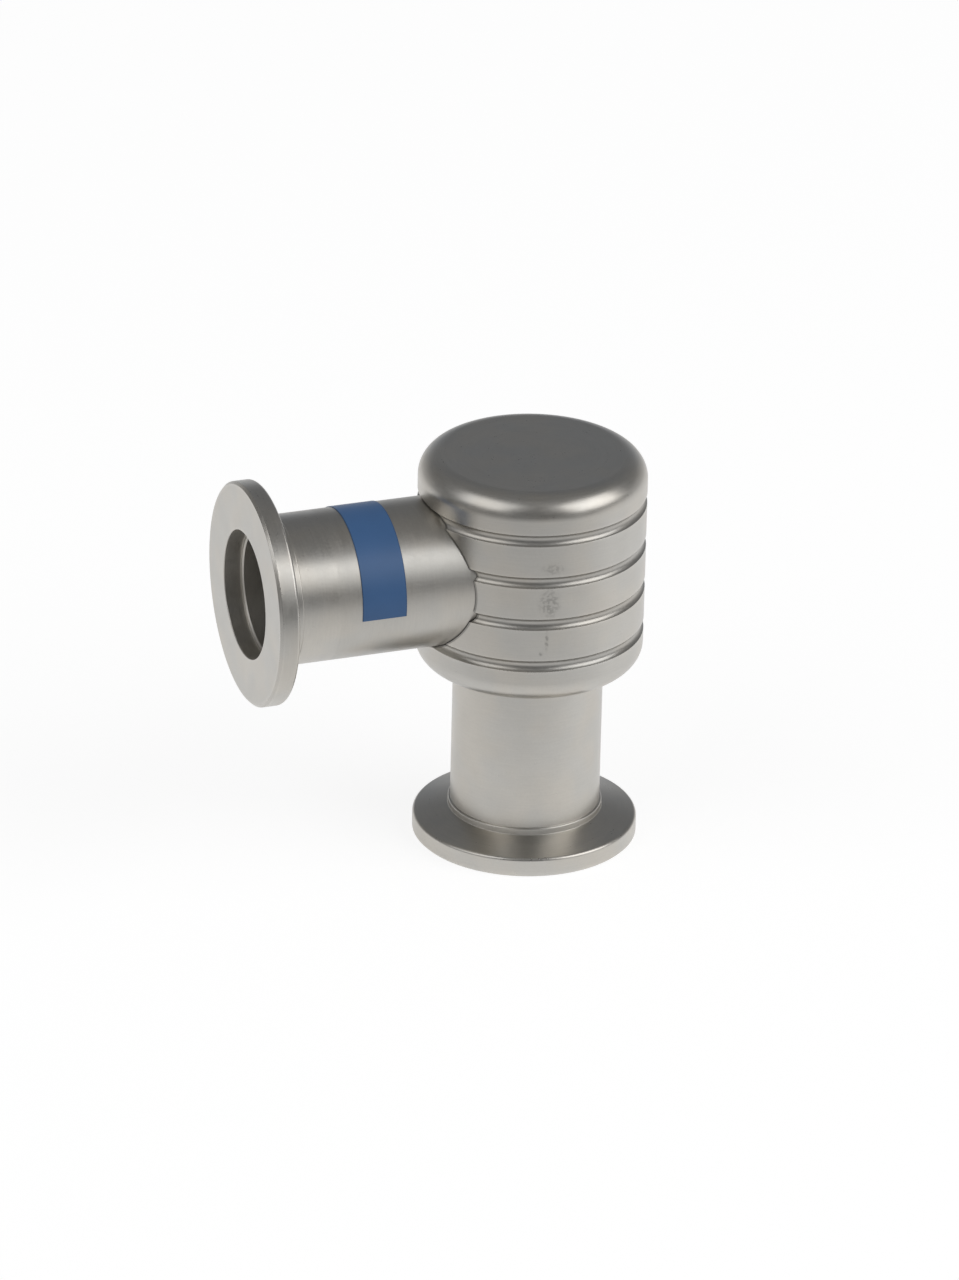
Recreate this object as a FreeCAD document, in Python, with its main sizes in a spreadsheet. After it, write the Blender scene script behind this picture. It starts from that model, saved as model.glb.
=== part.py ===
"""Right-angle vacuum elbow with two small-flange ports.

A turned steel block carries the corner. Its top is closed, and two flanged
tubes sit in sockets, one underneath and one in its side. A foil band is stuck
round the side tube. All sizes are in millimetres.

The origin is the centre of the lower sealing face. +Z runs up the lower port,
and the side port points along -X.
"""
import FreeCAD, Part
import math
import os

import Sketcher

DRIVING_SIZES = [
    ("axis_height", 40.0, "side port's axis above the lower sealing face"),
    ("port_reach", 40.0, "side sealing face from the lower port's axis"),
    ("flange_diameter", 30.0, "outside of the flanges"),
    ("rim_height", 2.7, "straight rim behind the sealing face"),
    ("cone_angle", 15.0, "slope of the flange's back, in degrees"),
    ("face_break", 0.35, "chamfer round the outside of the sealing face"),
    ("edge_break", 0.15, "chamfer on the flange's other edges"),
    ("neck_step", 0.3, "neck's wall outside the tube's, where the cone ends"),
    ("neck_height", 0.95, "neck between the cone and the plain tube"),
    ("tube_diameter", 20.0, "outside of the tubes"),
    ("bore_diameter", 16.0, "inside of the tubes"),
    ("recess_diameter", 17.2, "recess that holds the centring ring"),
    ("recess_depth", 2.4, "depth of that recess"),
    ("bore_chamfer", 0.2, "chamfer from the recess into the bore"),
    ("lead_in", 0.3, "chamfer on the tube's seated end"),
    ("block_overhang", 0.2, "block's side outside the flanges' rims"),
    ("block_crown", 0.1, "block's top above the side flange's highest point"),
    ("block_lift", 0.3, "block's base above that flange's lowest point"),
    ("block_edge_radius", 3.2, "rounding of the block's two ends"),
    ("groove_count", 4, "grooves round the block"),
    ("groove_pitch", 6.05, "from one groove to the next"),
    ("groove_radius", 0.86, "round section of a groove"),
    ("groove_depth", 0.52, "how deep a groove is cut"),
    ("chamber_diameter", 16.4, "bore up the middle of the block"),
    ("chamber_headroom", 0.6, "chamber's end above the side bore"),
    ("lower_seat_depth", 3.0, "depth of the lower tube's socket"),
    ("side_seat_depth", 1.9, "side tube's socket where the round wall makes it shallowest"),
    ("seat_clearance", 0.1, "gap round a tube in its socket"),
    ("band_offset", 13.0, "foil band's edge behind the side sealing face"),
    ("band_width", 6.1, "foil band along the tube"),
    ("band_wrap", 194.0, "foil band's reach round the tube, in degrees"),
    ("band_thickness", 0.1, "thickness of the foil"),
]

FLANGE_R = "sizes.flange_diameter / 2"
TUBE_R = "sizes.tube_diameter / 2"
BORE_R = "sizes.bore_diameter / 2"
RECESS_R = "sizes.recess_diameter / 2"
NECK_R = TUBE_R + " + sizes.neck_step"
SOCKET_R = "(" + TUBE_R + " + sizes.seat_clearance)"
BLOCK_R = "(" + FLANGE_R + " + sizes.block_overhang)"
CHAMBER_R = "sizes.chamber_diameter / 2"
BLOCK_BASE = "(sizes.axis_height - " + FLANGE_R + " + sizes.block_lift)"
BLOCK_TOP = "(sizes.axis_height + " + FLANGE_R + " + sizes.block_crown)"
BLOCK_MIDDLE = "((" + BLOCK_BASE + " + " + BLOCK_TOP + ") / 2)"
GROOVE_SPAN = "(sizes.groove_pitch * (sizes.groove_count - 1))"
GROOVE_CENTRE = BLOCK_R + " + sizes.groove_radius - sizes.groove_depth"
LOWER_SEAT = BLOCK_BASE + " + sizes.lower_seat_depth"
SADDLE_REACH = "sqrt(" + BLOCK_R + " ^ 2 - " + SOCKET_R + " ^ 2)"
SIDE_SEAT = "(" + SADDLE_REACH + " - sizes.side_seat_depth)"
CHAMBER_END = "sizes.axis_height + " + BORE_R + " + sizes.chamber_headroom"
CONE_WIDTH = "(" + FLANGE_R + " - sizes.edge_break - (" + NECK_R + "))"
CONE_RISE = CONE_WIDTH + " * tan(sizes.cone_angle * 1 deg)"
CONE_END = "sizes.rim_height + " + CONE_RISE

FULL_TURN = 360.0
ORIGIN_POINT = (-1, 1)


def write_sizes(doc):
    """Put the driving dimensions in a sheet, one named cell each."""
    sheet = doc.addObject("Spreadsheet::Sheet", "sizes")
    for row, (name, value, meaning) in enumerate(DRIVING_SIZES, start=1):
        sheet.set(f"A{row}", name)
        sheet.set(f"B{row}", str(value))
        sheet.set(f"C{row}", meaning)
        sheet.setAlias(f"B{row}", name)
    doc.recompute()
    return sheet


def new_body(doc, name):
    """Start one piece. Its label is the name of its file."""
    body = doc.addObject("PartDesign::Body", name)
    body.Label = name
    return body


def new_sketch(body, name):
    """Start a sketch on the piece's own XZ plane: across is X, up is Z."""
    sketch = body.newObject("Sketcher::SketchObject", name)
    planes = body.Origin.OriginFeatures
    plane = next(item for item in planes if item.Role == "XZ_Plane")
    sketch.AttachmentSupport = [(plane, "")]
    sketch.MapMode = "FlatFace"
    return sketch


def bind(sketch, name, kind, *places, formula):
    """Add a named dimension and tie it to the sheet."""
    value = float(sketch.evalExpression(formula))
    sketch.addConstraint(Sketcher.Constraint(kind, *places, value))
    sketch.renameConstraint(sketch.ConstraintCount - 1, name)
    sketch.setExpression("Constraints." + name, formula)


def pin_point(sketch, name, place, across, up):
    """Fix a point by its distances from the sketch's origin.

    None puts it on an axis: -1 is the sketch's horizontal one, -2 the vertical.
    """
    if across is None:
        sketch.addConstraint(Sketcher.Constraint("PointOnObject", *place, -2))
    else:
        bind(sketch, name + "_across", "DistanceX", *ORIGIN_POINT, *place, formula=across)
    if up is None:
        sketch.addConstraint(Sketcher.Constraint("PointOnObject", *place, -1))
    else:
        bind(sketch, name + "_up", "DistanceY", *ORIGIN_POINT, *place, formula=up)


def draw_outline(sketch, corners):
    """Draw a closed outline of straight lines through named corners."""
    spots = []
    for _, across, up in corners:
        x = float(sketch.evalExpression(across)) if across else 0.0
        y = float(sketch.evalExpression(up)) if up else 0.0
        spots.append(FreeCAD.Vector(x, y, 0))
    count = len(corners)
    for index in range(count):
        sketch.addGeometry(Part.LineSegment(spots[index], spots[(index + 1) % count]), False)
    for index in range(count):
        following = (index + 1) % count
        sketch.addConstraint(Sketcher.Constraint("Coincident", index, 2, following, 1))
    for index, (name, across, up) in enumerate(corners):
        pin_point(sketch, name, (index, 1), across, up)


def turn(body, sketch, kind, axis, name):
    """Revolve a sketch a full turn, to add or to cut metal."""
    feature = body.newObject(kind, name)
    feature.Profile = sketch
    feature.ReferenceAxis = (sketch, [axis])
    feature.Angle = FULL_TURN
    sketch.Visibility = False
    return feature


def make_port(doc, name, length):
    """Turn a flange and its tube from one bar, sealing face at the origin."""
    body = new_body(doc, name)
    sketch = new_sketch(body, name + "_section")
    draw_outline(sketch, [
        ("face_inner", RECESS_R + " + sizes.edge_break", None),
        ("face_outer", FLANGE_R + " - sizes.face_break", None),
        ("rim_front", FLANGE_R, "sizes.face_break"),
        ("rim_back", FLANGE_R, "sizes.rim_height - sizes.edge_break"),
        ("cone_foot", FLANGE_R + " - sizes.edge_break", "sizes.rim_height"),
        ("cone_head", NECK_R, CONE_END),
        ("ledge_edge", NECK_R, CONE_END + " + sizes.neck_height"),
        ("ledge_foot", TUBE_R, CONE_END + " + sizes.neck_height"),
        ("tube_end", TUBE_R, length + " - sizes.lead_in"),
        ("end_outer", TUBE_R + " - sizes.lead_in", length),
        ("end_inner", BORE_R, length),
        ("bore_mouth", BORE_R, "sizes.recess_depth + sizes.bore_chamfer"),
        ("recess_floor", BORE_R + " + sizes.bore_chamfer", "sizes.recess_depth"),
        ("recess_corner", RECESS_R, "sizes.recess_depth"),
        ("recess_mouth", RECESS_R, "sizes.edge_break"),
    ])
    turn(body, sketch, "PartDesign::Revolution", "V_Axis", name + "_turned")
    return body


def draw_block_section(sketch):
    """Half of the block's section, with both outer corners rounded."""
    radius = float(sketch.evalExpression(BLOCK_R))
    base = float(sketch.evalExpression(BLOCK_BASE))
    top = float(sketch.evalExpression(BLOCK_TOP))
    edge = float(sketch.evalExpression("sizes.block_edge_radius"))
    inner = radius - edge
    quarter = math.radians(90)

    def line(*ends):
        start, end = (FreeCAD.Vector(x, y, 0) for x, y in ends)
        return sketch.addGeometry(Part.LineSegment(start, end), False)

    def corner(height, first, last):
        circle = Part.Circle(FreeCAD.Vector(inner, height, 0), FreeCAD.Vector(0, 0, 1), edge)
        return sketch.addGeometry(Part.ArcOfCircle(circle, first, last), False)

    floor = line((0, base), (inner, base))
    low = corner(base + edge, -quarter, 0)
    side = line((radius, base + edge), (radius, top - edge))
    high = corner(top - edge, 0, quarter)
    roof = line((inner, top), (0, top))
    core = line((0, top), (0, base))
    for first, second in ((floor, low), (low, side), (side, high), (high, roof)):
        sketch.addConstraint(Sketcher.Constraint("Tangent", first, 2, second, 1))
    for first, second in ((roof, core), (core, floor)):
        sketch.addConstraint(Sketcher.Constraint("Coincident", first, 2, second, 1))
    sketch.addConstraint(Sketcher.Constraint("Horizontal", floor))
    sketch.addConstraint(Sketcher.Constraint("Vertical", side))
    sketch.addConstraint(Sketcher.Constraint("Horizontal", roof))
    sketch.addConstraint(Sketcher.Constraint("Equal", low, high))
    bind(sketch, "edge", "Radius", low, formula="sizes.block_edge_radius")
    pin_point(sketch, "base", (floor, 1), None, BLOCK_BASE)
    pin_point(sketch, "top", (core, 1), None, BLOCK_TOP)
    bind(sketch, "radius", "DistanceX", *ORIGIN_POINT, side, 1, formula=BLOCK_R)


def cut_grooves(body):
    """Turn the lowest groove and repeat it up the block."""
    sketch = new_sketch(body, "groove_section")
    radius = float(sketch.evalExpression("sizes.groove_radius"))
    across = float(sketch.evalExpression(GROOVE_CENTRE))
    lowest = BLOCK_MIDDLE + " - " + GROOVE_SPAN + " / 2"
    up = float(sketch.evalExpression(lowest))
    circle = Part.Circle(FreeCAD.Vector(across, up, 0), FreeCAD.Vector(0, 0, 1), radius)
    ring = sketch.addGeometry(circle, False)
    pin_point(sketch, "centre", (ring, 3), GROOVE_CENTRE, lowest)
    bind(sketch, "section", "Radius", ring, formula="sizes.groove_radius")
    groove = turn(body, sketch, "PartDesign::Groove", "V_Axis", "groove")
    body.Document.recompute()
    repeat = body.newObject("PartDesign::LinearPattern", "grooves")
    repeat.Originals = [groove]
    repeat.Direction = (sketch, ["V_Axis"])
    repeat.setExpression("Length", GROOVE_SPAN + " * 1 mm")
    repeat.setExpression("Occurrences", "sizes.groove_count")
    body.Tip = repeat


def cut_chamber(body):
    """Bore up from below: the lower tube's socket, then the blind chamber."""
    sketch = new_sketch(body, "chamber_section")
    draw_outline(sketch, [
        ("mouth_axis", None, BLOCK_BASE),
        ("mouth", SOCKET_R, BLOCK_BASE),
        ("seat_outer", SOCKET_R, LOWER_SEAT),
        ("seat_inner", CHAMBER_R, LOWER_SEAT),
        ("roof_edge", CHAMBER_R, CHAMBER_END),
        ("roof_axis", None, CHAMBER_END),
    ])
    turn(body, sketch, "PartDesign::Groove", "V_Axis", "chamber")


def cut_side_bore(body):
    """Bore in along the side port's axis: the tube's socket, then the way through."""
    sketch = new_sketch(body, "side_bore_section")
    half_turn = FreeCAD.Rotation(FreeCAD.Vector(0, 1, 0), 180)
    sketch.AttachmentOffset = FreeCAD.Placement(FreeCAD.Vector(0, 0, 0), half_turn)
    sketch.setExpression("AttachmentOffset.Base.y", "sizes.axis_height * 1 mm")
    draw_outline(sketch, [
        ("inner_axis", None, None),
        ("inner", None, BORE_R),
        ("seat_inner", SIDE_SEAT, BORE_R),
        ("seat_outer", SIDE_SEAT, SOCKET_R),
        ("mouth", "sizes.port_reach", SOCKET_R),
        ("mouth_axis", "sizes.port_reach", None),
    ])
    turn(body, sketch, "PartDesign::Groove", "H_Axis", "side_bore")


def make_block(doc):
    """Turn the corner block, groove it and bore its two ways."""
    body = new_body(doc, "elbow_body")
    sketch = new_sketch(body, "block_section")
    draw_block_section(sketch)
    turn(body, sketch, "PartDesign::Revolution", "V_Axis", "block_turned")
    doc.recompute()
    cut_grooves(body)
    doc.recompute()
    cut_chamber(body)
    cut_side_bore(body)
    return body


def place(body, tilt, across, up):
    """Lay a turned piece along the side port and move it to its seat."""
    rotation = FreeCAD.Rotation(FreeCAD.Vector(0, 1, 0), tilt)
    body.Placement = FreeCAD.Placement(FreeCAD.Vector(0, 0, 0), rotation)
    body.setExpression("Placement.Base.x", "(" + across + ") * 1 mm")
    body.setExpression("Placement.Base.z", "(" + up + ") * 1 mm")


def make_band(doc):
    """Wrap the foil band over the top of the side tube."""
    body = new_body(doc, "label_band")
    sketch = new_sketch(body, "band_section")
    outer = TUBE_R + " + sizes.band_thickness"
    draw_outline(sketch, [
        ("inner_near", TUBE_R, None),
        ("outer_near", outer, None),
        ("outer_far", outer, "sizes.band_width"),
        ("inner_far", TUBE_R, "sizes.band_width"),
    ])
    wrap = turn(body, sketch, "PartDesign::Revolution", "V_Axis", "band_wrapped")
    wrap.Midplane = True
    wrap.setExpression("Angle", "sizes.band_wrap * 1 deg")
    place(body, -90, "-sizes.port_reach + sizes.band_offset + sizes.band_width", "sizes.axis_height")
    return body


def check(doc, pieces):
    """Stop if any feature failed or any piece isn't one sound solid."""
    for item in doc.Objects:
        if "Invalid" in item.State or "Error" in item.State:
            raise RuntimeError(f"{item.Label} didn't compute: {item.State}")
    for body in pieces:
        shape = body.Shape
        if shape.isNull() or not shape.isValid() or len(shape.Solids) != 1:
            raise RuntimeError(f"{body.Label} isn't one sound solid")


def main():
    doc = FreeCAD.newDocument("vacuum_elbow")
    write_sizes(doc)
    block = make_block(doc)
    lower = make_port(doc, "bottom_port", LOWER_SEAT)
    side = make_port(doc, "side_port", "sizes.port_reach - " + SIDE_SEAT)
    place(side, 90, "-sizes.port_reach", "sizes.axis_height")
    band = make_band(doc)
    doc.recompute()
    pieces = [block, lower, side, band]
    check(doc, pieces)
    os.makedirs("parts", exist_ok=True)
    for body in pieces:
        body.Shape.exportStep(f"parts/{body.Label}.step")
        box = body.Shape.optimalBoundingBox(True, False)
        print(f"{body.Label}: {body.Shape.Volume:.1f} mm3,"
              f" x {box.XMin:.2f} to {box.XMax:.2f},"
              f" y {box.YMin:.2f} to {box.YMax:.2f},"
              f" z {box.ZMin:.2f} to {box.ZMax:.2f}")


main()
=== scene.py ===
"""The looks of a right-angle vacuum elbow in satin stainless steel.

The corner block, the two flanged tubes and the foil band are turned or wrapped
anew at the frame's sizes, with finer steps and broken edges. Lengths are in metres.
"""
import math

import bmesh
import bpy
from mathutils import Matrix, Vector


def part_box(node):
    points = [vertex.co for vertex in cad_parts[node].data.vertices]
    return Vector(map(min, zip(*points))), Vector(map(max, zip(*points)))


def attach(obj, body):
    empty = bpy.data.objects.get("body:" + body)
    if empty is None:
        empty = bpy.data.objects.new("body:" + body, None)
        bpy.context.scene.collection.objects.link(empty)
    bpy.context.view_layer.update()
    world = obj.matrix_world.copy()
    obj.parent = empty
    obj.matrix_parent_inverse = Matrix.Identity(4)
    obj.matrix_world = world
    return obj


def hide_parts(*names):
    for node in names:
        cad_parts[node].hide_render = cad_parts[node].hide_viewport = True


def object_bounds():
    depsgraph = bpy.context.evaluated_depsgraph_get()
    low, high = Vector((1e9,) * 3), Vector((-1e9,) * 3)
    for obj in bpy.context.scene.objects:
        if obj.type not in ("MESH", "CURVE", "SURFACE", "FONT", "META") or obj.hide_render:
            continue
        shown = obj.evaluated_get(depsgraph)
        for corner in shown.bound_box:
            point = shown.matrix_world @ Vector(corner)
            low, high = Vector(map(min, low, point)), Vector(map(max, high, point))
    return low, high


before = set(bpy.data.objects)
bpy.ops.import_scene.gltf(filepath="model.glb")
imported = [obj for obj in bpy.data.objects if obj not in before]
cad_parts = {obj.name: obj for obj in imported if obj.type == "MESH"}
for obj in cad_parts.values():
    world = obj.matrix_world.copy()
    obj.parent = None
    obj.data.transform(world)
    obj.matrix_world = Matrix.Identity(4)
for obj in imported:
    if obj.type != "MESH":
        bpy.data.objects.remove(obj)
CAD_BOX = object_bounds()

MM = 0.001
QUARTER_TURN = math.radians(90)

# Sizes read from the frame
BLOCK_LOW, BLOCK_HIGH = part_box("elbow_body")
LOWER_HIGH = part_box("bottom_port")[1]
SIDE_LOW, SIDE_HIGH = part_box("side_port")
BAND_LOW, BAND_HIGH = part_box("label_band")

BLOCK_R = BLOCK_HIGH.x
BLOCK_BASE = BLOCK_LOW.z
BLOCK_TOP = BLOCK_HIGH.z
BLOCK_MIDDLE = (BLOCK_BASE + BLOCK_TOP) / 2
FLANGE_R = LOWER_HIGH.x
LOWER_SEAT = LOWER_HIGH.z
AXIS_HEIGHT = SIDE_LOW.z + FLANGE_R
PORT_REACH = -SIDE_LOW.x
SIDE_SEAT = -SIDE_HIGH.x
SIDE_LENGTH = PORT_REACH - SIDE_SEAT
BAND_OUTER_R = BAND_HIGH.z - AXIS_HEIGHT
BAND_START = BAND_LOW.x
BAND_WIDTH = BAND_HIGH.x - BAND_LOW.x

# The axes that pieces are turned on: where each starts, and how it is turned from upright
UPRIGHT = ((0, 0, 0), (0, 0, 0))
ALONG_SIDE = ((-PORT_REACH, 0, AXIS_HEIGHT), (0, QUARTER_TURN, 0))

# Sizes of the flanges and tubes. A break is a chamfer's size, and an edge, round, fillet or
# corner is a radius
RIM_HEIGHT = 2.7 * MM
CONE_ANGLE = math.radians(15)
FACE_BREAK = 0.35 * MM
FACE_EDGE = 0.12 * MM
EDGE_BREAK = 0.15 * MM
BACK_EDGE = 0.5 * MM
TUBE_R = 10.0 * MM
BORE_R = 8.0 * MM
RECESS_R = 8.6 * MM
RECESS_DEPTH = 2.4 * MM
BORE_CHAMFER = 0.2 * MM
NECK_STEP = 0.3 * MM
NECK_HEIGHT = 0.95 * MM
NECK_ROUND = 0.22 * MM
NECK_FILLET = 0.1 * MM
INNER_CORNER = 0.05 * MM
LEAD_IN = 0.3 * MM

# Sizes of the block
BLOCK_EDGE_R = 3.2 * MM
GROOVE_COUNT = 4
GROOVE_PITCH = 6.05 * MM
GROOVE_R = 0.86 * MM
GROOVE_DEPTH = 0.52 * MM
GROOVE_LIP = 0.05 * MM
SOCKET_PLAY = 0.1 * MM
SOCKET_R = TUBE_R + SOCKET_PLAY
SOCKET_EDGE = 0.06 * MM
CHAMBER_R = 8.2 * MM
CHAMBER_HEADROOM = 0.6 * MM
CHAMBER_END = AXIS_HEIGHT + BORE_R + CHAMBER_HEADROOM

# Sizes of the foil band
BAND_WRAP = math.radians(194)
BAND_CORNER = 0.03 * MM

# How finely the turned pieces are stepped
STEPS_ROUND = 256
GROOVE_POINTS = 19
LIP_POINTS = 6
CHORD_ERROR = 0.001 * MM
SHARP_ANGLE = math.radians(35)
WELD = 0.001 * MM

# Camera, fitted to the photograph's outlines
CAMERA_AIM = Vector((-7.616, -1.783, 29.679)) * MM
CAMERA_AZIMUTH = math.radians(-20.279)
CAMERA_ELEVATION = math.radians(25.477)
CAMERA_ROLL = math.radians(1.377)
CAMERA_DISTANCE = 1383.5 * MM
FOCAL_LENGTH_MM = 293.65
SENSOR_MM = 36.0
NEAREST_SEEN = 0.1
FARTHEST_SEEN = 10.0

# Finishes. Colours are linear
COOL_STEEL = (0.490, 0.478, 0.451)
WARM_STEEL = (0.513, 0.490, 0.450)
FOIL_BLUE = (0.065, 0.162, 0.362)

# Recipes: a plain value, and what each mark adds to it where the piece has that mark
STEEL_LIGHT = {
    "plain": 0.90,
    "turning marks": 0.06,
    "hairlines": 0.14,
    "grain": 0.09,
    "patches": 0.07,
    "worn edges": 0.05,
    "smudges": -0.4,
    # Painted shade: the side tube's joint is darkened, partly for the shade in its gap and partly for
    # its braze
    "tube joint": -0.45,
    # Painted shade: the groove floors are darker
    "grooves": -0.14,
    "dull end": -0.03,
}
STEEL_ROUGHNESS = {
    "plain": 0.195,
    "turning marks": 0.07,
    "hairlines": 0.12,
    "grain": 0.14,
    "patches": -0.06,
    "worn edges": -0.03,
    "bore": 0.15,
    "smudges": 0.1,
    "grooves": 0.02,
    "dull end": 0.03,
}
STEEL_HEIGHT = {
    "plain": 0.0,
    "turning marks": 1.0,
    "hairlines": 0.35,
    "grain": 0.15,
}
STEEL_RELIEF = {
    "plain": 1.0,
    "worn edges": -0.8,
}
FOIL_LIGHT = {
    "plain": 0.9,
    "patches": 0.14,
    "grain": 0.06,
    "cut edges": -0.35,
}
FOIL_ROUGHNESS = {
    "plain": 0.32,
    "grain": 0.08,
    "patches": 0.06,
}
FOIL_HEIGHT = {
    "plain": 0.0,
    "patches": 1.0,
    "grain": 0.1,
}

# Sizes of the marks. More breaks make marks that run round the axis shorter
MARK_WIDTH = 0.55 * MM
MARK_BREAKS = 1.5
HAIRLINE_WIDTH = 0.16 * MM
HAIRLINE_BREAKS = 5.0
GRAIN_SIZE = 0.3 * MM
PATCH_SIZE = 3.5 * MM
STEEL_DEPTH = 0.0025 * MM
TINT_SIZE = 6.0 * MM
WORN_REACH = 0.5 * MM
BORE_FADE = 0.05 * MM
# Width and fade of the painted dark line round the side tube's joint: the shade of its gap, and its
# braze
SHADED_JOINT_WIDTH = 0.27 * MM
SHADED_JOINT_FADE = 0.05 * MM
DULL_FROM = 9.9 * MM
DULL_FADE = 0.25 * MM
FOIL_PATCH_SIZE = 4.0 * MM
FOIL_EDGE = 0.2 * MM
FOIL_DEPTH = 0.01 * MM

# Where in a noise's range the steel turns from cool to warm, and a smudge from thin to thick
TINT_TURNS = (0.35, 0.65)
SPECK_TURNS = (0.44, 0.6)
SPECK_SIZE = 0.45 * MM
SPECK_SHARE = 0.8
# Which share of a smudge's reach is at full strength
SMUDGE_CORE = 0.3
# Each smudge: angle round the block in degrees, height, half width and half height in mm, strength
SMUDGES = (
    (-99.0, 45.2, 2.1, 1.1, 0.55),
    (-100.5, 40.3, 1.9, 2.8, 0.75),
    (-101.6, 34.8, 0.35, 2.0, 0.85),
    (-104.2, 33.0, 0.4, 0.4, 0.85),
)

# Studio. Levels are radiances, where 1 is white. Azimuth 0 is beyond the object, 90 to its right
OBJECT_MIDDLE = (CAD_BOX[0] + CAD_BOX[1]) / 2
LAMP_DISTANCE = 2.0
# Each softbox: azimuth, elevation, how wide and how high it looks in degrees, level
LEFT_SOFTBOX = (-106, 41, 48, 40, 1.15)
RIGHT_SOFTBOX = (131, 35, 50, 41, 1.82)

# The room, and the pale glow low down in it, which ends at an elevation. The glow is fullest
# at its azimuth and begins where the cosine of the turn away from there has this value
ROOM_LEVEL = 0.185
GLOW_LEVEL = 0.40
GLOW_TOP = 22
GLOW_AZIMUTH = 25
GLOW_BEGINS = -0.3
# The room grows a little paler overhead, from one elevation to another
OVERHEAD_LEVEL = 0.03
OVERHEAD_RISE = (35, 70)
# The part of the room that the block's top mirrors is a shade cooler. Its azimuth and elevation,
# the cosines between which it fades in, and what it adds to red, green and blue
COOL_TOWARDS = (20, 25)
COOL_FADE = (0.75, 0.95)
COOL_TINT = (-0.05, -0.012, 0.05)

# The floor: its colour, how much paler the steel sees it by a painted glow, its level under
# the lamps, and the share of its shadow that the camera sees
FLOOR_HALF = 3.0
FLOOR_COLOUR = 0.8
FLOOR_LIFT = 0.60
LIT_FLOOR = 0.43
SHADOW_SEEN = 0.4
# The azimuth in which the floor's painted pool of light dims most, and how fast it dims there
# and elsewhere, per metre
DIM_AZIMUTH = -150
DIM_MOST = 5.0
DIM_LEAST = 0.6


def set_camera():
    """Put the camera where the photograph was taken from."""
    azimuth, elevation = CAMERA_AZIMUTH, CAMERA_ELEVATION
    back = Vector((math.sin(azimuth) * math.cos(elevation),
                   -math.cos(azimuth) * math.cos(elevation),
                   math.sin(elevation)))
    right = Vector((math.cos(azimuth), math.sin(azimuth), 0))
    up = back.cross(right)
    turned = Matrix.Rotation(CAMERA_ROLL, 3, back)
    view = Matrix((turned @ right, turned @ up, back)).transposed().to_4x4()
    data = bpy.data.cameras.new("photo_camera")
    data.lens = FOCAL_LENGTH_MM
    data.sensor_width = SENSOR_MM
    data.clip_start = NEAREST_SEEN
    data.clip_end = FARTHEST_SEEN
    camera = bpy.data.objects.new("photo_camera", data)
    camera.matrix_world = Matrix.Translation(CAMERA_AIM + back * CAMERA_DISTANCE) @ view
    bpy.context.scene.collection.objects.link(camera)
    bpy.context.scene.camera = camera


# Nodes

def add_node(tree, kind, values=None, **settings):
    """Add a node. A value that is another node's socket is linked, any other is set."""
    node = tree.nodes.new(kind)
    for name, value in settings.items():
        setattr(node, name, value)
    for name, value in (values or {}).items():
        socket = node.inputs[name]
        if isinstance(value, bpy.types.NodeSocket):
            tree.links.new(value, socket)
        else:
            socket.default_value = value
    return node


def new_tree(name, sizes):
    """Start a shaping tree with a geometry input, named sizes and a finish."""
    tree = bpy.data.node_groups.new(name, "GeometryNodeTree")
    face = tree.interface
    face.new_socket("Outline", in_out="INPUT", socket_type="NodeSocketGeometry")
    for label, kind in sizes:
        face.new_socket(label, in_out="INPUT", socket_type=kind)
    face.new_socket("Finish", in_out="INPUT", socket_type="NodeSocketMaterial")
    face.new_socket("Piece", in_out="OUTPUT", socket_type="NodeSocketGeometry")
    return tree, tree.nodes.new("NodeGroupInput").outputs


def join(tree, *parts):
    """Join the outputs of several nodes."""
    node = tree.nodes.new("GeometryNodeJoinGeometry")
    for part in parts:
        tree.links.new(part, node.inputs["Geometry"])
    return node.outputs["Geometry"]


def vector(tree, x=0.0, y=0.0, z=0.0):
    """A vector from three numbers or sockets."""
    node = add_node(tree, "ShaderNodeCombineXYZ", {"X": x, "Y": y, "Z": z})
    return node.outputs["Vector"]


def calculate(tree, operation, first, second=0.0):
    """One sum on numbers or sockets."""
    node = tree.nodes.new("ShaderNodeMath")
    node.operation = operation
    for socket, value in zip(node.inputs, (first, second)):
        if isinstance(value, bpy.types.NodeSocket):
            tree.links.new(value, socket)
        else:
            socket.default_value = value
    return node.outputs["Value"]


def weighed(tree, base, *shares):
    """A base number plus each value times its weight."""
    result = base
    for value, weight in shares:
        result = calculate(tree, "ADD", calculate(tree, "MULTIPLY", value, weight), result)
    return result


def length_of(tree, first, second):
    """The length of two lengths at right angles."""
    squares = [calculate(tree, "MULTIPLY", part, part) for part in (first, second)]
    return calculate(tree, "SQRT", calculate(tree, "ADD", *squares))


# Trees that shape pieces

def turn_outline(tree, outline, steps, finish):
    """Spin an outline (x across, y up) round the Z axis, weld it and give it its finish.

    It is swept along a circle, and stands back by that circle's radius.
    """
    spindle_r = 0.01
    section = add_node(tree, "GeometryNodeTransform", {
        "Geometry": outline,
        "Translation": (-spindle_r, 0, 0),
        "Rotation": (math.pi, 0, 0),
    })
    spindle = add_node(tree, "GeometryNodeCurvePrimitiveCircle", {
        "Resolution": steps,
        "Radius": spindle_r,
    })
    spun = add_node(tree, "GeometryNodeCurveToMesh", {
        "Curve": spindle.outputs["Curve"],
        "Profile Curve": section.outputs["Geometry"],
    })
    finish_piece(tree, spun.outputs["Mesh"], finish)


def finish_piece(tree, mesh, finish):
    """Weld a shaped mesh, smooth it, make it real and give it its finish."""
    welded = add_node(tree, "GeometryNodeMergeByDistance", {"Geometry": mesh, "Distance": WELD})
    smooth = add_node(tree, "GeometryNodeSetShadeSmooth", {"Geometry": welded.outputs[0]})
    real = add_node(tree, "GeometryNodeRealizeInstances", {"Geometry": smooth.outputs[0]})
    coated = add_node(tree, "GeometryNodeSetMaterial", {
        "Geometry": real.outputs[0],
        "Material": finish,
    })
    leave = tree.nodes.new("NodeGroupOutput")
    tree.links.new(coated.outputs[0], leave.inputs["Piece"])


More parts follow.
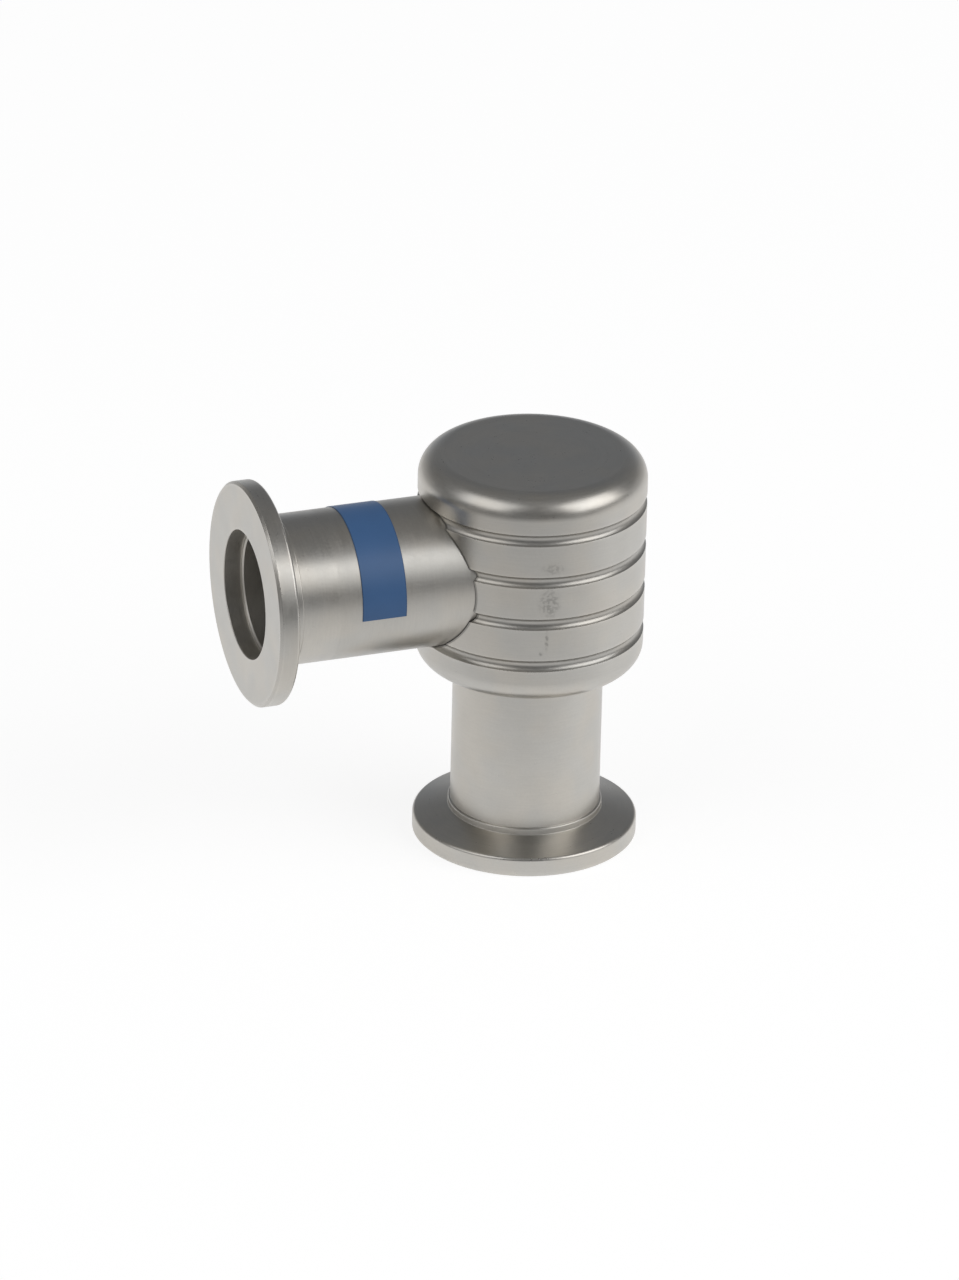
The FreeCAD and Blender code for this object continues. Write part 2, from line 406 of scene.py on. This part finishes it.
def make_lathe_tree():
    """Nodes that turn a piece from its outline."""
    tree, given = new_tree("turned_piece", [("Steps round", "NodeSocketInt")])
    outline = add_node(tree, "GeometryNodeMeshToCurve", {"Mesh": given["Outline"]})
    turn_outline(tree, outline.outputs["Curve"], given["Steps round"], given["Finish"])


def make_grooved_tree():
    """Nodes that repeat one groove up the side of an outline, then turn it.

    A groove is its round floor, whose centre lies outside the piece, and two small
    round lips. The lands are the straight stretches between one groove's upper lip
    and the next one's lower lip.
    """
    tree, given = new_tree("grooved_piece", [
        ("Steps round", "NodeSocketInt"),
        ("Grooves", "NodeSocketInt"),
        ("Pitch", "NodeSocketFloat"),
        ("Groove radius", "NodeSocketFloat"),
        ("Groove depth", "NodeSocketFloat"),
        ("Lip radius", "NodeSocketFloat"),
        ("Side radius", "NodeSocketFloat"),
        ("Lowest groove", "NodeSocketFloat"),
    ])
    centre = calculate(tree, "SUBTRACT", given["Groove radius"], given["Groove depth"])
    hub = calculate(tree, "ADD", given["Groove radius"], given["Lip radius"])
    across = calculate(tree, "ADD", centre, given["Lip radius"])
    slope = calculate(tree, "ARCSINE", calculate(tree, "DIVIDE", across, hub))
    rise = calculate(tree, "MULTIPLY", hub, calculate(tree, "COSINE", slope))
    drop = calculate(tree, "MULTIPLY", rise, -1.0)
    inset = calculate(tree, "MULTIPLY", given["Lip radius"], -1.0)
    lip_turn = calculate(tree, "SUBTRACT", QUARTER_TURN, slope)
    floor = add_node(tree, "GeometryNodeCurveArc", {
        "Resolution": GROOVE_POINTS,
        "Radius": given["Groove radius"],
        "Start Angle": calculate(tree, "ADD", QUARTER_TURN, slope),
        "Sweep Angle": calculate(tree, "MULTIPLY", lip_turn, 2.0),
    }, mode="RADIUS")
    sunk = add_node(tree, "GeometryNodeTransform", {
        "Geometry": floor.outputs["Curve"],
        "Translation": vector(tree, centre),
    })
    lips = []
    for turn, height in ((lip_turn, drop), (calculate(tree, "MULTIPLY", lip_turn, -1.0), rise)):
        bend = add_node(tree, "GeometryNodeCurveArc", {
            "Resolution": LIP_POINTS,
            "Radius": given["Lip radius"],
            "Start Angle": 0.0,
            "Sweep Angle": turn,
        }, mode="RADIUS")
        placed = add_node(tree, "GeometryNodeTransform", {
            "Geometry": bend.outputs["Curve"],
            "Translation": vector(tree, inset, height),
        })
        lips.append(placed.outputs["Geometry"])
    groove = join(tree, sunk.outputs["Geometry"], *lips)
    land = add_node(tree, "GeometryNodeCurvePrimitiveLine", {
        "Start": vector(tree, 0.0, rise),
        "End": vector(tree, 0.0, calculate(tree, "ADD", given["Pitch"], drop)),
    })
    land_count = calculate(tree, "SUBTRACT", given["Grooves"], 1.0)
    stretches = []
    for form, count in ((groove, given["Grooves"]), (land.outputs["Curve"], land_count)):
        ladder = add_node(tree, "GeometryNodeMeshLine", {
            "Count": count,
            "Offset": vector(tree, 0.0, given["Pitch"]),
        })
        repeated = add_node(tree, "GeometryNodeInstanceOnPoints", {
            "Points": ladder.outputs["Mesh"],
            "Instance": form,
        })
        real = add_node(tree, "GeometryNodeRealizeInstances", {"Geometry": repeated.outputs[0]})
        placed = add_node(tree, "GeometryNodeTransform", {
            "Geometry": real.outputs[0],
            "Translation": vector(tree, given["Side radius"], given["Lowest groove"]),
        })
        wire = add_node(tree, "GeometryNodeCurveToMesh", {"Curve": placed.outputs[0]})
        stretches.append(wire.outputs["Mesh"])
    whole = join(tree, given["Outline"], *stretches)
    welded = add_node(tree, "GeometryNodeMergeByDistance", {"Geometry": whole, "Distance": WELD})
    outline = add_node(tree, "GeometryNodeMeshToCurve", {"Mesh": welded.outputs[0]})
    turn_outline(tree, outline.outputs["Curve"], given["Steps round"], given["Finish"])


def make_wrapped_tree():
    """Nodes that wrap a closed outline round the Z axis, evenly to each side of -X."""
    tree, given = new_tree("wrapped_piece", [
        ("Steps round", "NodeSocketInt"),
        ("Wrap", "NodeSocketFloat"),
        ("Radius", "NodeSocketFloat"),
    ])
    outline = add_node(tree, "GeometryNodeMeshToCurve", {"Mesh": given["Outline"]})
    section = add_node(tree, "GeometryNodeTransform", {
        "Geometry": outline.outputs["Curve"],
        "Rotation": (math.pi, 0, 0),
    })
    path = add_node(tree, "GeometryNodeCurveArc", {
        "Resolution": given["Steps round"],
        "Radius": given["Radius"],
        "Start Angle": weighed(tree, math.pi, (given["Wrap"], -0.5)),
        "Sweep Angle": given["Wrap"],
    }, mode="RADIUS")
    wrapped = add_node(tree, "GeometryNodeCurveToMesh", {
        "Curve": path.outputs["Curve"],
        "Profile Curve": section.outputs["Geometry"],
        "Fill Caps": True,
    })
    finish_piece(tree, wrapped.outputs["Mesh"], given["Finish"])


# Outlines and meshes

def rounded(corners, closed):
    """Points of an outline whose corners (across, up, radius) are rounded to that radius."""
    points = []
    count = len(corners)
    for index, (across, up, radius) in enumerate(corners):
        corner = Vector((across, up))
        if radius == 0 or (not closed and index in (0, count - 1)):
            points.append(corner)
            continue
        before = Vector(corners[index - 1][:2]) - corner
        after = Vector(corners[(index + 1) % count][:2]) - corner
        before.normalize()
        after.normalize()
        half = before.angle(after) / 2
        centre = corner + (before + after).normalized() * radius / math.sin(half)
        start = corner + before * radius / math.tan(half) - centre
        turn = math.pi - 2 * half
        side = 1 if before.cross(after) < 0 else -1
        step = 2 * math.acos(1 - CHORD_ERROR / radius)
        steps = max(2, math.ceil(turn / step))
        for place in range(steps + 1):
            angle = side * turn * place / steps
            points.append(centre + Matrix.Rotation(angle, 2) @ start)
    return points


def wire_outline(name, corners, closed=False):
    """A wire in the XY plane through the corners, each rounded to its radius."""
    points = rounded(corners, closed)
    count = len(points)
    edges = [(index, index + 1) for index in range(count - 1)]
    if closed:
        edges.append((count - 1, 0))
    mesh = bpy.data.meshes.new(name)
    mesh.from_pydata([(point.x, point.y, 0) for point in points], edges, [])
    piece = bpy.data.objects.new(name, mesh)
    bpy.context.scene.collection.objects.link(piece)
    return piece


def set_input(modifier, label, value):
    """Set one of a node modifier's inputs by the label that its tree gives it."""
    for item in modifier.node_group.interface.items_tree:
        if item.item_type == "SOCKET" and item.in_out == "INPUT" and item.name == label:
            modifier[item.identifier] = value


def shape(piece, tree_name, **sizes):
    """Run a shaping tree on a piece and keep the result as its plain mesh."""
    modifier = piece.modifiers.new(tree_name, "NODES")
    modifier.node_group = bpy.data.node_groups[tree_name]
    for label, value in sizes.items():
        set_input(modifier, label.replace("_", " "), value)
    keep_result(piece)


def keep_result(piece):
    """Replace a piece's mesh with what its modifiers make of it, and remove them."""
    graph = bpy.context.evaluated_depsgraph_get()
    result = bpy.data.meshes.new_from_object(piece.evaluated_get(graph))
    piece.modifiers.clear()
    piece.data = result
    result.name = piece.name


def face_outwards(piece):
    """Point every face of a closed mesh outwards."""
    shell = bmesh.new()
    shell.from_mesh(piece.data)
    bmesh.ops.recalc_face_normals(shell, faces=shell.faces)
    shell.to_mesh(piece.data)
    shell.free()


def true_shading(piece):
    """Shade smooth up to sharp edges, led by the large faces.

    The weighing skips faces as small as these are in metres, so it is done in
    millimetres.
    """
    piece.data.set_sharp_from_angle(angle=SHARP_ANGLE)
    piece.data.transform(Matrix.Scale(1 / MM, 4))
    modifier = piece.modifiers.new("true_shading", "WEIGHTED_NORMAL")
    modifier.keep_sharp = True
    keep_result(piece)
    piece.data.transform(Matrix.Scale(MM, 4))


def lay_along_side(piece, start):
    """Turn a piece from the Z axis onto the side port's axis.

    Its -X side comes up, and its foot lies at start.
    """
    turned = Matrix.Rotation(QUARTER_TURN, 4, "Y")
    piece.data.transform(Matrix.Translation((start, 0, AXIS_HEIGHT)) @ turned)


# The pieces

def port_outline(length):
    """Corners of a flange and its tube. The sealing face is at height 0."""
    neck_r = TUBE_R + NECK_STEP
    foot_r = FLANGE_R - EDGE_BREAK
    neck_foot = RIM_HEIGHT + (foot_r - neck_r) * math.tan(CONE_ANGLE)
    rim_back = RIM_HEIGHT - EDGE_BREAK * math.tan(CONE_ANGLE)
    neck_top = neck_foot + NECK_HEIGHT
    return [
        (RECESS_R, 0, EDGE_BREAK),
        (FLANGE_R - FACE_BREAK, 0, FACE_EDGE),
        (FLANGE_R, FACE_BREAK, FACE_EDGE),
        (FLANGE_R, rim_back, BACK_EDGE),
        (neck_r, neck_foot, NECK_FILLET),
        (neck_r, neck_top, NECK_ROUND),
        (TUBE_R, neck_top, INNER_CORNER),
        (TUBE_R, length - LEAD_IN, 0),
        (TUBE_R - LEAD_IN, length, 0),
        (BORE_R, length, 0),
        (BORE_R, RECESS_DEPTH + BORE_CHAMFER, 0),
        (BORE_R + BORE_CHAMFER, RECESS_DEPTH, 0),
        (RECESS_R, RECESS_DEPTH, INNER_CORNER),
    ]


def make_port(name, length, finish):
    """A flange and its tube, standing on its sealing face."""
    piece = wire_outline(name, port_outline(length), closed=True)
    shape(piece, "turned_piece", Steps_round=STEPS_ROUND, Finish=finish)
    face_outwards(piece)
    true_shading(piece)
    return piece


def make_side_cutter(finish):
    """The side port's socket and bore, as the cutter that makes them."""
    past_block = BLOCK_R * 1.5
    corners = [
        (0, 0, 0),
        (BORE_R, 0, 0),
        (BORE_R, SIDE_SEAT, 0),
        (SOCKET_R, SIDE_SEAT, 0),
        (SOCKET_R, past_block, 0),
        (0, past_block, 0),
    ]
    cutter = wire_outline("side_cutter", corners)
    shape(cutter, "turned_piece", Steps_round=STEPS_ROUND, Finish=finish)
    cutter.data.transform(Matrix.Rotation(-QUARTER_TURN, 4, "Y"))
    cutter.data.transform(Matrix.Translation((0, 0, AXIS_HEIGHT)))
    face_outwards(cutter)
    return cutter


def groove_half_width(lip=0.0):
    """Half of a groove's width at the block's side, out to the middle of its lips."""
    return math.sqrt((GROOVE_R + lip) ** 2 - (GROOVE_R - GROOVE_DEPTH + lip) ** 2)


def groove_heights():
    """How high each groove runs, from the lowest up. They are centred on the block."""
    half_count = (GROOVE_COUNT - 1) / 2
    return [BLOCK_MIDDLE + GROOVE_PITCH * (place - half_count) for place in range(GROOVE_COUNT)]


def make_block(finish):
    """The corner block: grooved outside, bored from below and from the side."""
    lowest, *_, highest = groove_heights()
    rise = groove_half_width(GROOVE_LIP)
    upper = [
        (0, BLOCK_TOP, 0),
        (BLOCK_R, BLOCK_TOP, BLOCK_EDGE_R),
        (BLOCK_R, highest + rise, 0),
    ]
    lower = [
        (BLOCK_R, lowest - rise, 0),
        (BLOCK_R, BLOCK_BASE, BLOCK_EDGE_R),
        (SOCKET_R, BLOCK_BASE, SOCKET_EDGE),
        (SOCKET_R, LOWER_SEAT, 0),
        (CHAMBER_R, LOWER_SEAT, 0),
        (CHAMBER_R, CHAMBER_END, 0),
        (0, CHAMBER_END, 0),
    ]
    block = wire_outline("corner_block", upper)
    join_meshes(block, wire_outline("block_rest", lower))
    shape(block, "grooved_piece",
          Steps_round=STEPS_ROUND, Grooves=GROOVE_COUNT, Pitch=GROOVE_PITCH,
          Groove_radius=GROOVE_R, Groove_depth=GROOVE_DEPTH, Lip_radius=GROOVE_LIP,
          Side_radius=BLOCK_R, Lowest_groove=lowest, Finish=finish)
    face_outwards(block)
    cutter = make_side_cutter(finish)
    cut = block.modifiers.new("side_bore", "BOOLEAN")
    cut.object = cutter
    cut.solver = "EXACT"
    keep_result(block)
    bpy.data.objects.remove(cutter)
    true_shading(block)
    return block


def join_meshes(piece, other):
    """Add another object's mesh to a piece's and remove that object."""
    both = bmesh.new()
    both.from_mesh(piece.data)
    both.from_mesh(other.data)
    both.to_mesh(piece.data)
    both.free()
    bpy.data.objects.remove(other)


def make_band(finish):
    """The foil band, wrapped over the top of the side tube."""
    thickness = BAND_OUTER_R - TUBE_R
    corners = [
        (0, 0, 0),
        (thickness, 0, BAND_CORNER),
        (thickness, BAND_WIDTH, BAND_CORNER),
        (0, BAND_WIDTH, 0),
    ]
    band = wire_outline("foil_band", corners, closed=True)
    shape(band, "wrapped_piece",
          Steps_round=STEPS_ROUND // 2, Wrap=BAND_WRAP, Radius=TUBE_R, Finish=finish)
    lay_along_side(band, BAND_START)
    face_outwards(band)
    true_shading(band)
    return band


# Marks and finishes

def new_material(name):
    """A material, its node tree and its shader."""
    material = bpy.data.materials.new(name)
    material.use_nodes = True
    return material, material.node_tree, material.node_tree.nodes["Principled BSDF"]


def ease(tree, value, start, end):
    """A smooth step of a value: 0 at start, 1 at end."""
    node = add_node(tree, "ShaderNodeMapRange", {
        "Value": value,
        "From Min": start,
        "From Max": end,
    }, interpolation_type="SMOOTHSTEP")
    return node.outputs["Result"]


def turned_place(tree, axis):
    """Where a point is on a turned piece: how far off its axis, up it and round it."""
    start, tilt = axis
    own = add_node(tree, "ShaderNodeMapping", {
        "Vector": tree.nodes.new("ShaderNodeTexCoord").outputs["Object"],
        "Location": start,
        "Rotation": tilt,
    }, vector_type="TEXTURE").outputs["Vector"]
    x, y, up = add_node(tree, "ShaderNodeSeparateXYZ", {"Vector": own}).outputs
    off = length_of(tree, x, y)
    return {
        "own": own,
        "off": off,
        "up": up,
        "cosine": calculate(tree, "DIVIDE", x, off),
        "sine": calculate(tree, "DIVIDE", y, off),
    }


def ring_marks(tree, place, width, breaks):
    """Uneven marks that run round the axis. More breaks make them shorter."""
    return add_node(tree, "ShaderNodeTexNoise", {
        "Vector": vector(tree,
                         calculate(tree, "DIVIDE", place["off"], width),
                         calculate(tree, "DIVIDE", place["up"], width),
                         calculate(tree, "MULTIPLY", place["cosine"], breaks)),
        "W": calculate(tree, "MULTIPLY", place["sine"], breaks),
        "Scale": 1.0,
        "Detail": 2.0,
    }, noise_dimensions="4D").outputs["Fac"]


def patches(tree, place, size, detail):
    """Soft patches of about a size."""
    return add_node(tree, "ShaderNodeTexNoise", {
        "Vector": place["own"],
        "Scale": 1 / size,
        "Detail": detail,
    }).outputs["Fac"]


def near_rings(tree, place, rings, reach):
    """1 at rings of a given radius and height, fading to 0 at a reach from them."""
    nearest = None
    for ring_r, ring_up in rings:
        away = length_of(tree,
                         calculate(tree, "SUBTRACT", place["off"], ring_r),
                         calculate(tree, "SUBTRACT", place["up"], ring_up))
        nearest = calculate(tree, "MINIMUM", nearest, away) if nearest else away
    return ease(tree, nearest, reach, 0.0)


def smudge_marks(tree, place):
    """Soft ovals on the block's side, darker in fine specks."""
    turn = calculate(tree, "ARCTAN2", place["sine"], place["cosine"])
    ovals = 0.0
    for angle, up, half_width, half_height, strength in SMUDGES:
        aside = calculate(tree, "SUBTRACT", turn, math.radians(angle))
        above = calculate(tree, "SUBTRACT", place["up"], up * MM)
        off_middle = length_of(tree,
                               calculate(tree, "MULTIPLY", aside, BLOCK_R / (half_width * MM)),
                               calculate(tree, "DIVIDE", above, half_height * MM))
        ovals = weighed(tree, ovals, (ease(tree, off_middle, 1.0, SMUDGE_CORE), strength))
    specks = ease(tree, patches(tree, place, SPECK_SIZE, detail=3.0), *SPECK_TURNS)
    return calculate(tree, "MULTIPLY", weighed(tree, 1 - SPECK_SHARE, (specks, SPECK_SHARE)), ovals)


def in_shaded_grooves(tree, place):
    """1 on the block's groove floors, darkened as painted shade, 0 on its lands and ends."""
    reach = GROOVE_PITCH * (GROOVE_COUNT - 1) / 2 + GROOVE_R
    above = calculate(tree, "ABSOLUTE", calculate(tree, "SUBTRACT", place["up"], BLOCK_MIDDLE))
    return calculate(tree, "MULTIPLY",
                     ease(tree, place["off"], BLOCK_R - GROOVE_LIP, BLOCK_R - 3 * GROOVE_LIP),
                     ease(tree, above, reach + GROOVE_LIP, reach))


def in_bore(tree, place, bored_to):
    """1 in a piece's recess and bore as far up as bored_to, 0 outside."""
    return calculate(tree, "MULTIPLY",
                     ease(tree, place["off"], RECESS_R + 2 * BORE_FADE, RECESS_R + BORE_FADE),
                     ease(tree, place["up"], bored_to + BORE_CHAMFER, bored_to))


def shaded_joint_line(tree, place):
    """1 on the block close to the side tube's joint: painted shade of its gap, and its braze."""
    x, y, _ = add_node(tree, "ShaderNodeSeparateXYZ", {"Vector": place["own"]}).outputs
    above = calculate(tree, "SUBTRACT", place["up"], AXIS_HEIGHT)
    shaded_joint_r = TUBE_R + SHADED_JOINT_WIDTH
    near = ease(tree, length_of(tree, y, above), shaded_joint_r + SHADED_JOINT_FADE, shaded_joint_r)
    return calculate(tree, "MULTIPLY", near, ease(tree, x, 0.0, -BORE_R))


def follow_recipe(tree, recipe, marks):
    """A recipe's plain value, plus what it gives for each mark that the piece has."""
    shares = [(marks[name], share) for name, share in recipe.items() if name in marks]
    return weighed(tree, recipe["plain"], *shares)


def dress_shader(tree, shader, colour, light, roughness, height, depth, relief=1.0):
    """Give a shader its colour at a light, its roughness, and its relief of a depth."""
    lit = add_node(tree, "ShaderNodeVectorMath", {
        "Vector": colour,
        "Scale": light,
    }, operation="SCALE")
    bump = add_node(tree, "ShaderNodeBump", {
        "Height": height,
        "Strength": relief,
        "Distance": depth,
    })
    tree.links.new(lit.outputs["Vector"], shader.inputs["Base Color"])
    tree.links.new(roughness, shader.inputs["Roughness"])
    tree.links.new(bump.outputs["Normal"], shader.inputs["Normal"])


def turned_steel(name, axis, worn_rings, bored_to, on_block=False, dull_from=None):
    """Satin stainless steel turned on a lathe.

    Faint marks run round the axis, the finish is softly patchy, and the handled
    edges are polished a little. The bore and recess are rougher, up to bored_to.
    From dull_from up the axis the steel is a shade duller. The block's groove floors are
    a shade rougher and darker, as painted shade. Round the side tube the block has a painted
    dark line, partly the shade of the joint's gap and partly its braze, and it has smudges.
    """
    material, tree, shader = new_material(name)
    place = turned_place(tree, axis)
    marks = {
        "turning marks": ring_marks(tree, place, MARK_WIDTH, MARK_BREAKS),
        "hairlines": ring_marks(tree, place, HAIRLINE_WIDTH, HAIRLINE_BREAKS),
        "grain": patches(tree, place, GRAIN_SIZE, detail=1.0),
        "patches": patches(tree, place, PATCH_SIZE, detail=3.0),
        "worn edges": near_rings(tree, place, worn_rings, WORN_REACH),
        "bore": in_bore(tree, place, bored_to),
    }
    if on_block:
        marks["smudges"] = smudge_marks(tree, place)
        marks["tube joint"] = shaded_joint_line(tree, place)
        marks["grooves"] = in_shaded_grooves(tree, place)
    if dull_from:
        marks["dull end"] = ease(tree, place["up"], dull_from, dull_from + DULL_FADE)
    tint = add_node(tree, "ShaderNodeValToRGB", {
        "Fac": ease(tree, patches(tree, place, TINT_SIZE, detail=1.0), *TINT_TURNS),
    })
    tint.color_ramp.elements[0].color = (*COOL_STEEL, 1)
    tint.color_ramp.elements[1].color = (*WARM_STEEL, 1)
    shader.inputs["Metallic"].default_value = 1
    dress_shader(tree, shader, tint.outputs["Color"],
                 light=follow_recipe(tree, STEEL_LIGHT, marks),
                 roughness=follow_recipe(tree, STEEL_ROUGHNESS, marks),
                 height=follow_recipe(tree, STEEL_HEIGHT, marks),
                 depth=STEEL_DEPTH,
                 relief=follow_recipe(tree, STEEL_RELIEF, marks))
    return material


def port_steel(name, axis, length, dull_from=None):
    """The steel of a port. Its flange's edges and its ledge are polished by handling."""
    worn_rings = (
        (FLANGE_R - FACE_BREAK, 0.0),
        (FLANGE_R, FACE_BREAK),
        (FLANGE_R, RIM_HEIGHT),
        (RECESS_R, 0.0),
        (BORE_R, RECESS_DEPTH),
    )
    return turned_steel(name, axis, worn_rings, length, dull_from=dull_from)


def block_steel(name):
    """The steel of the corner block, polished at the grooves' lips and smudged in front."""
    half = groove_half_width()
    worn_rings = [(BLOCK_R, groove + side) for groove in groove_heights() for side in (-half, half)]
    return turned_steel(name, UPRIGHT, worn_rings, CHAMBER_END, on_block=True)


def blue_foil(name):
    """Blue foil with a half-gloss face, darker cut edges and faint waves."""
    material, tree, shader = new_material(name)
    place = turned_place(tree, ALONG_SIDE)
    middle = BAND_START + BAND_WIDTH / 2 + PORT_REACH
    off_middle = calculate(tree, "ABSOLUTE", calculate(tree, "SUBTRACT", place["up"], middle))
    marks = {
        "patches": patches(tree, place, FOIL_PATCH_SIZE, detail=3.0),
        "grain": patches(tree, place, GRAIN_SIZE, detail=2.0),
        "cut edges": ease(tree, off_middle, BAND_WIDTH / 2 - FOIL_EDGE, BAND_WIDTH / 2),
    }
    dress_shader(tree, shader, FOIL_BLUE,
                 light=follow_recipe(tree, FOIL_LIGHT, marks),
                 roughness=follow_recipe(tree, FOIL_ROUGHNESS, marks),
                 height=follow_recipe(tree, FOIL_HEIGHT, marks),
                 depth=FOIL_DEPTH)
    return material


# The studio

def towards(azimuth, elevation=0.0):
    """The direction of an azimuth and elevation in degrees."""
    azimuth, elevation = math.radians(azimuth), math.radians(elevation)
    return Vector((
        math.sin(azimuth) * math.cos(elevation),
        math.cos(azimuth) * math.cos(elevation),
        math.sin(elevation),
    ))


def add_softbox(name, azimuth, elevation, wide, high, level):
    """A rectangular lamp turned to the object, of a size and level as the object sees it."""
    lamp = bpy.data.lights.new(name, "AREA")
    lamp.shape = "RECTANGLE"
    lamp.size = 2 * LAMP_DISTANCE * math.tan(math.radians(wide / 2))
    lamp.size_y = 2 * LAMP_DISTANCE * math.tan(math.radians(high / 2))
    lamp.energy = level * math.pi * lamp.size * lamp.size_y
    box = bpy.data.objects.new(name, lamp)
    direction = towards(azimuth, elevation)
    turn = (-direction).to_track_quat("-Z", "Y").to_matrix().to_4x4()
    box.matrix_world = Matrix.Translation(OBJECT_MIDDLE + direction * LAMP_DISTANCE) @ turn
    bpy.context.scene.collection.objects.link(box)


def along(tree, place, azimuth, elevation=0.0):
    """How far a place lies in the direction of an azimuth and elevation."""
    return add_node(tree, "ShaderNodeVectorMath", {
        0: place,
        1: towards(azimuth, elevation),
    }, operation="DOT_PRODUCT").outputs["Value"]


def make_floor():
    """A plain pale floor that keeps the object's shadow.

    Its colour dims away from the object, most towards the front left: a painted pool of
    light, as on a lit sheet. A painted glow lifts it to white in the steel near the object,
    and all over for the camera.
    """
    mesh = bpy.data.meshes.new("floor")
    half = FLOOR_HALF
    corners = [(-half, -half, 0), (half, -half, 0), (half, half, 0), (-half, half, 0)]
    mesh.from_pydata(corners, [], [(0, 1, 2, 3)])
    floor = bpy.data.objects.new("floor", mesh)
    bpy.context.scene.collection.objects.link(floor)
    material, tree, shader = new_material("white_floor")
    place = tree.nodes.new("ShaderNodeTexCoord").outputs["Object"]
    off_x, off_y, _ = add_node(tree, "ShaderNodeSeparateXYZ", {"Vector": place}).outputs
    away = length_of(tree, off_x, off_y)
    dimming = add_node(tree, "ShaderNodeMapRange", {
        "Value": calculate(tree, "DIVIDE", along(tree, place, DIM_AZIMUTH), away),
        "From Min": 0.0,
        "From Max": 1.0,
        "To Min": DIM_LEAST,
        "To Max": DIM_MOST,
    }).outputs["Result"]
    share = calculate(tree, "DIVIDE", 1.0, weighed(tree, 1.0, (dimming, away)))
    rays = tree.nodes.new("ShaderNodeLightPath").outputs
    mirrored = calculate(tree, "MAXIMUM", rays["Is Glossy Ray"], rays["Is Transmission Ray"])
    seen = rays["Is Camera Ray"]
    shadow_share = weighed(tree, 1.0, (seen, SHADOW_SEEN - 1))
    colour = calculate(tree, "MULTIPLY", calculate(tree, "MULTIPLY", share, FLOOR_COLOUR), shadow_share)
    painted_steel_glow = calculate(tree, "MULTIPLY", calculate(tree, "MULTIPLY", mirrored, share), FLOOR_LIFT)
    white_lift = weighed(tree, 1.0, (share, -LIT_FLOOR * SHADOW_SEEN))
    lift = calculate(tree, "ADD", painted_steel_glow, calculate(tree, "MULTIPLY", seen, white_lift))
    tree.links.new(vector(tree, colour, colour, colour), shader.inputs["Base Color"])
    tree.links.new(lift, shader.inputs["Emission Strength"])
    shader.inputs["Emission Color"].default_value = (1, 1, 1, 1)
    shader.inputs["Roughness"].default_value = 1
    shader.inputs["Specular IOR Level"].default_value = 0
    mesh.materials.append(material)


def light_world():
    """A dim room with a pale glow low down behind the object. The camera sees it white."""
    world = bpy.data.worlds.new("studio")
    bpy.context.scene.world = world
    world.use_nodes = True
    tree = world.node_tree
    direction = tree.nodes.new("ShaderNodeTexCoord").outputs["Generated"]
    up = add_node(tree, "ShaderNodeSeparateXYZ", {"Vector": direction}).outputs["Z"]
    low = ease(tree, up, math.sin(math.radians(GLOW_TOP)), 0.0)
    behind = ease(tree, along(tree, direction, GLOW_AZIMUTH), GLOW_BEGINS, 1.0)
    glow = calculate(tree, "MULTIPLY", low, behind)
    overhead = ease(tree, up, *(math.sin(math.radians(angle)) for angle in OVERHEAD_RISE))
    level = weighed(tree, ROOM_LEVEL, (glow, GLOW_LEVEL), (overhead, OVERHEAD_LEVEL))
    seen = tree.nodes.new("ShaderNodeLightPath").outputs["Is Camera Ray"]
    cool = ease(tree, along(tree, direction, *COOL_TOWARDS), *COOL_FADE)
    colour = vector(tree, *(weighed(tree, 1.0, (cool, part)) for part in COOL_TINT))
    background = tree.nodes["Background"]
    tree.links.new(colour, background.inputs["Color"])
    tree.links.new(calculate(tree, "MAXIMUM", level, seen), background.inputs["Strength"])


# The making

set_camera()
make_lathe_tree()
make_grooved_tree()
make_wrapped_tree()
block = make_block(block_steel("block_steel"))
lower_steel = port_steel("lower_port_steel", UPRIGHT, LOWER_SEAT)
lower_port = make_port("lower_port", LOWER_SEAT, lower_steel)
side_steel = port_steel("side_port_steel", ALONG_SIDE, SIDE_LENGTH, dull_from=DULL_FROM)
side_port = make_port("side_flange_and_tube", SIDE_LENGTH, side_steel)
lay_along_side(side_port, -PORT_REACH)
band = make_band(blue_foil("blue_foil"))

for piece, node, slot in (
    (block, "elbow_body", "block_steel"),
    (lower_port, "bottom_port", "tube_steel"),
    (side_port, "side_port", "tube_steel"),
    (band, "label_band", "label_foil"),
):
    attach(piece, "root")
    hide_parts(node)

make_floor()
light_world()
add_softbox("left_softbox", *LEFT_SOFTBOX)
add_softbox("right_softbox", *RIGHT_SOFTBOX)
bpy.context.scene.view_settings.view_transform = "Standard"
